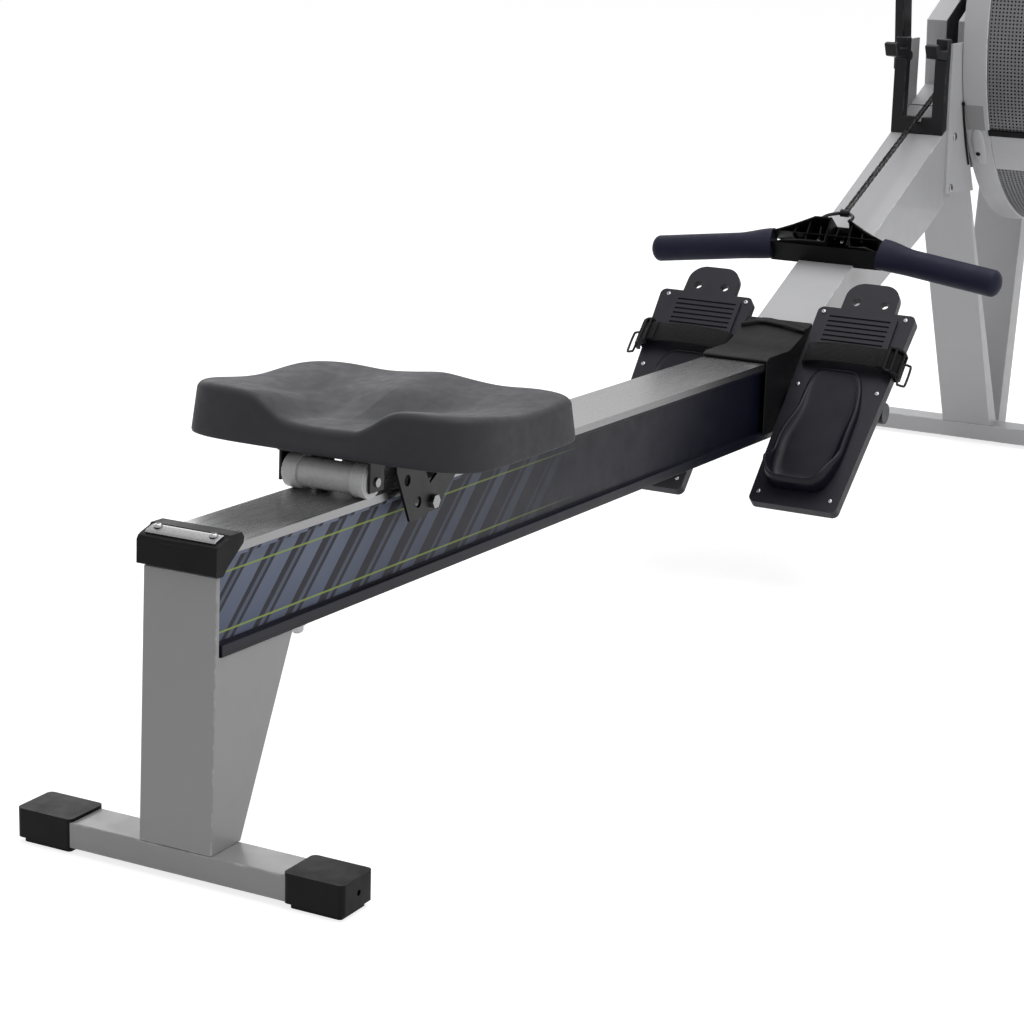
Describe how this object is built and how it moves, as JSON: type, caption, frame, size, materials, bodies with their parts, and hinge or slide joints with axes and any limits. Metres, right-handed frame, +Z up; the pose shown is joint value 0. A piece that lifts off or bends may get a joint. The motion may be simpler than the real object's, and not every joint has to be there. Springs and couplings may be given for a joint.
{
  "type": "air rowing machine",
  "caption": "Air rowing machine with a sliding contoured seat on a low rail, sloping frame, strapped footplates, bowed chain handle and caged fan flywheel.",
  "frame": {"origin": "middle of the machine's plan outline, on the floor under the feet", "axes": "+X from the rear foot to the flywheel, +Y to the rower's left side seen from above with +X ahead, +Z up"},
  "size_m": [2.1812, 0.61, 1.0814],
  "materials": {
    "mid_paint": "satin",
    "light_paint": "satin",
    "rail_metal": "satin printed film",
    "tube_metal": "satin paint",
    "bright_steel": "brushed",
    "screw_steel": "polished",
    "black_plastic": "fine grain",
    "plate_plastic": "fine grain",
    "cup_plastic": "smooth",
    "webbing": "woven",
    "cage_plastic": "satin",
    "screen_metal": "satin",
    "fan_metal": "satin",
    "chain_steel": "oiled",
    "grip_rubber": "smooth",
    "seat_foam": "fine grain",
    "black_steel": "satin",
    "roller_nylon": "translucent",
    "wheel_rubber": "matte",
    "screen_panel": "clear",
    "key_plastic": "smooth"
  },
  "bodies": {
    "frame": {"rear_foot_bar": "mid_paint", "rear_foot_caps": "black_plastic", "rear_leg": "mid_paint", "rail_beam": "rail_metal", "rail_track": "bright_steel", "rail_end_cap": "black_plastic", "rail_trim": "bright_steel", "front_cover": "black_plastic", "main_tube": "tube_metal", "front_leg_rear": "light_paint", "front_leg_front": "light_paint", "leg_screws": "screw_steel", "front_foot_bar": "light_paint", "front_foot_caps": "black_plastic", "caster_forks": "light_paint", "footrest_bracket": "black_steel", "footplate_left": "plate_plastic", "footplate_right": "plate_plastic", "footplate_screws": "screw_steel", "foot_strap_left": "webbing", "foot_strap_right": "webbing", "strap_buckle_left": "black_plastic", "strap_buckle_right": "black_plastic", "handle_hook": "black_plastic", "chassis": "tube_metal", "cage_rim_inner": "cage_plastic", "cage_rim_outer": "cage_plastic", "cage_screen": "screen_metal", "cage_band": "cage_plastic", "sensor_cable": "black_plastic"},
    "caster_left": {"caster_wheel_left": "wheel_rubber"},
    "caster_right": {"caster_wheel_right": "wheel_rubber"},
    "cup_left": {"heel_cup_left": "cup_plastic"},
    "cup_right": {"heel_cup_right": "cup_plastic"},
    "fan": {"flywheel": "fan_metal", "fan_blades": "fan_metal"},
    "drive": {"sprocket": "chain_steel"},
    "damper": {"damper_lever": "black_plastic"},
    "chain_line": {"chain_upper": "chain_steel"},
    "chain_run": {"chain_middle": "chain_steel"},
    "handle": {"chain_lower": "chain_steel", "chain_swivel": "black_steel", "handle_core": "black_plastic", "handle_grips": "grip_rubber"},
    "seat": {"seat_pad": "seat_foam", "seat_plate": "black_steel", "bracket_left": "black_steel", "bracket_right": "black_steel", "roller_axles": "screw_steel"},
    "roller_rear": {"top_roller_rear": "roller_nylon"},
    "roller_front": {"top_roller_front": "roller_nylon"},
    "low_left": {"low_roller_left": "roller_nylon"},
    "low_right": {"low_roller_right": "roller_nylon"},
    "arm": {"monitor_arm": "black_steel"},
    "monitor": {"monitor_yoke": "black_steel", "monitor_case": "black_plastic", "monitor_screen": "screen_panel"},
    "button_left": {"key_left": "key_plastic"},
    "button_middle": {"key_middle": "key_plastic"},
    "button_right": {"key_right": "key_plastic"}
  },
  "joints": [
    {"name": "seat_slide", "type": "slide", "parent": "frame", "child": "seat", "axis": [0.9997, 0, -0.0258], "range_m": [-0.15, 0.62]},
    {"name": "roller_rear_spin", "type": "hinge", "parent": "seat", "child": "roller_rear", "pos_m": [-0.86529, 0, 0.28436], "axis": [0, 1, 0], "continuous": true},
    {"name": "roller_front_spin", "type": "hinge", "parent": "seat", "child": "roller_front", "pos_m": [-0.71004, 0, 0.28036], "axis": [0, 1, 0], "continuous": true},
    {"name": "low_left_spin", "type": "hinge", "parent": "seat", "child": "low_left", "pos_m": [-0.77684, 0.036, 0.25047], "axis": [0, 1, 0], "continuous": true},
    {"name": "low_right_spin", "type": "hinge", "parent": "seat", "child": "low_right", "pos_m": [-0.77684, -0.036, 0.25047], "axis": [0, 1, 0], "continuous": true},
    {"name": "chain_swing", "type": "hinge", "parent": "frame", "child": "chain_line", "pos_m": [0.8206, 0, 0.585], "axis": [0, 1, 0], "range_deg": [0, 29.5]},
    {"name": "handle_pull", "type": "slide", "parent": "chain_line", "child": "handle", "axis": [-0.9248, 0, -0.3805], "range_m": [0, 1.05], "stiffness_N_per_m": 20, "springref_m": -0.8},
    {"name": "chain_draw", "type": "slide", "parent": "chain_line", "child": "chain_run", "axis": [-0.9248, 0, -0.3805], "range_m": [0, 0.53]},
    {"name": "sprocket_turn", "type": "hinge", "parent": "frame", "child": "drive", "pos_m": [0.8206, 0, 0.585], "axis": [0, 1, 0], "continuous": true},
    {"name": "flywheel_spin", "type": "hinge", "parent": "frame", "child": "fan", "pos_m": [0.8206, -0.1, 0.585], "axis": [0, 1, 0], "continuous": true},
    {"name": "damper_turn", "type": "hinge", "parent": "frame", "child": "damper", "pos_m": [0.8206, -0.2, 0.585], "axis": [0, 1, 0], "range_deg": [0, 75]},
    {"name": "heel_left", "type": "slide", "parent": "frame", "child": "cup_left", "axis": [0.6896, 0, 0.7242], "range_m": [-0.008, 0.018]},
    {"name": "heel_right", "type": "slide", "parent": "frame", "child": "cup_right", "axis": [0.6896, 0, 0.7242], "range_m": [-0.008, 0.018]},
    {"name": "arm_fold", "type": "hinge", "parent": "frame", "child": "arm", "pos_m": [0.5581, 0.044, 0.545], "axis": [0, 1, 0], "range_deg": [-25, 12]},
    {"name": "monitor_tilt", "type": "hinge", "parent": "arm", "child": "monitor", "pos_m": [0.50344, 0, 0.9762], "axis": [0, 1, 0], "range_deg": [-15, 15]},
    {"name": "caster_left_spin", "type": "hinge", "parent": "frame", "child": "caster_left", "pos_m": [0.8536, 0.19, 0.03], "axis": [0, 1, 0], "continuous": true},
    {"name": "caster_right_spin", "type": "hinge", "parent": "frame", "child": "caster_right", "pos_m": [0.8536, -0.19, 0.03], "axis": [0, 1, 0], "continuous": true},
    {"name": "press_left", "type": "slide", "parent": "monitor", "child": "button_left", "axis": [0.9659, 0, -0.2588], "range_m": [0, 0.0018], "stiffness_N_per_m": 300, "springref_m": -0.001},
    {"name": "press_middle", "type": "slide", "parent": "monitor", "child": "button_middle", "axis": [0.9659, 0, -0.2588], "range_m": [0, 0.0018], "stiffness_N_per_m": 300, "springref_m": -0.001},
    {"name": "press_right", "type": "slide", "parent": "monitor", "child": "button_right", "axis": [0.9659, 0, -0.2588], "range_m": [0, 0.0018], "stiffness_N_per_m": 300, "springref_m": -0.001}
  ],
  "couplings": [
    {"joint": "roller_rear_spin", "follows": "seat_slide", "rad_per_m": 66.667},
    {"joint": "roller_front_spin", "follows": "seat_slide", "rad_per_m": 66.667},
    {"joint": "low_left_spin", "follows": "seat_slide", "rad_per_m": -153.85},
    {"joint": "low_right_spin", "follows": "seat_slide", "rad_per_m": -153.85},
    {"joint": "chain_swing", "follows": "handle_pull", "rad_per_m": 0.48869},
    {"joint": "chain_draw", "follows": "handle_pull", "ratio": 0.5},
    {"joint": "sprocket_turn", "follows": "handle_pull", "rad_per_m": -71.429}
  ]
}
